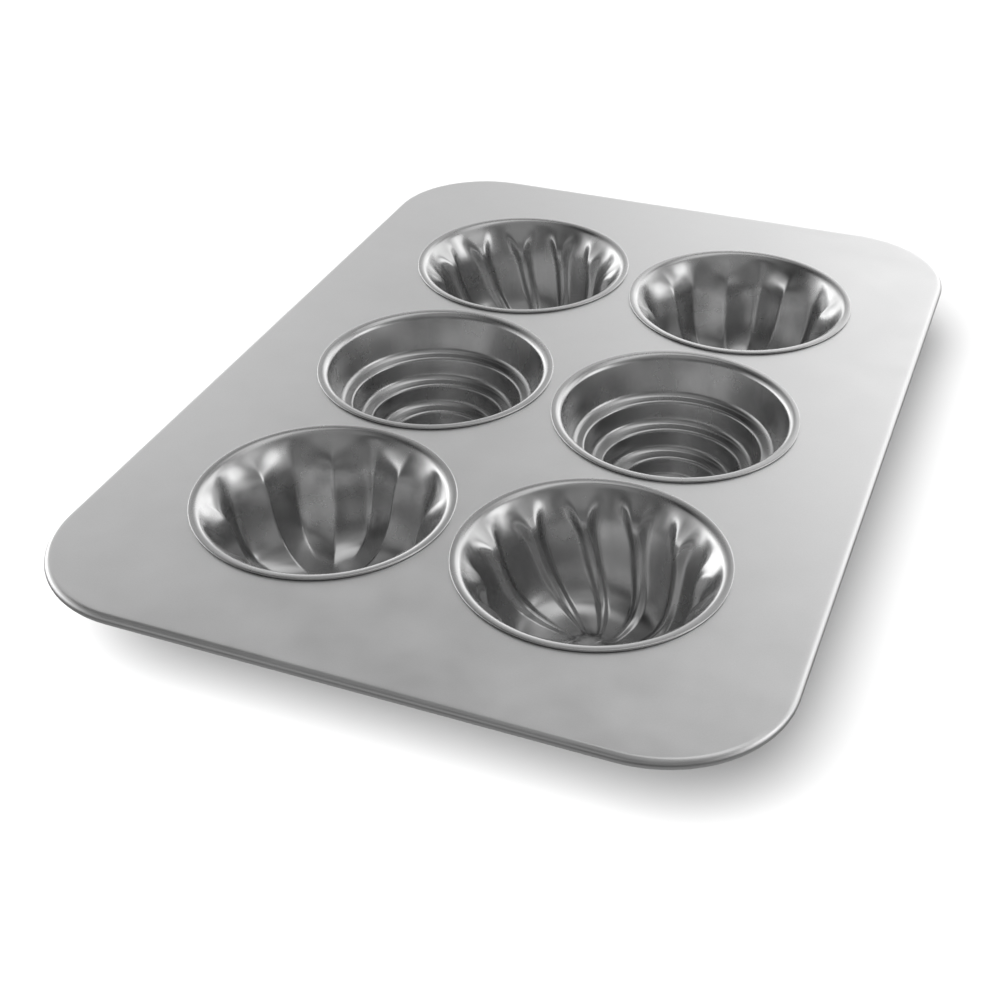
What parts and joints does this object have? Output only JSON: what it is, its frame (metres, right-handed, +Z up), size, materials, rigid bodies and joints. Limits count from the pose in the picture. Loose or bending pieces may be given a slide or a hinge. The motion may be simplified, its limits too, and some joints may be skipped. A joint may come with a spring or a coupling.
{
  "type": "mini cake pan",
  "caption": "Rectangular metal baking pan with rounded corners and a wired rolled edge, holding round cake cups with straight flutes, swirled flutes and stepped rings.",
  "frame": {"origin": "middle of the pan, on the plane that the cup floors stand on", "axes": "+Z up, +Y along the pan's length, from the short side nearer the picture's viewer to the far one, +X to the right across the pan"},
  "size_m": [0.282, 0.4, 0.0461],
  "materials": {
    "tray_sheet": "satin silver coated steel sheet",
    "cup_sheet": "smooth satin silver coated steel sheet",
    "rim_wire": "plain drawn steel wire"
  },
  "bodies": {
    "root": {"tray_plate": "tray_sheet", "rim_wire": "rim_wire", "fluted_cup_front_left": "cup_sheet", "swirl_cup_front_right": "cup_sheet", "ringed_cup_middle_left": "cup_sheet", "ringed_cup_middle_right": "cup_sheet", "swirl_cup_rear_left": "cup_sheet", "fluted_cup_rear_right": "cup_sheet"}
  },
  "joints": []
}
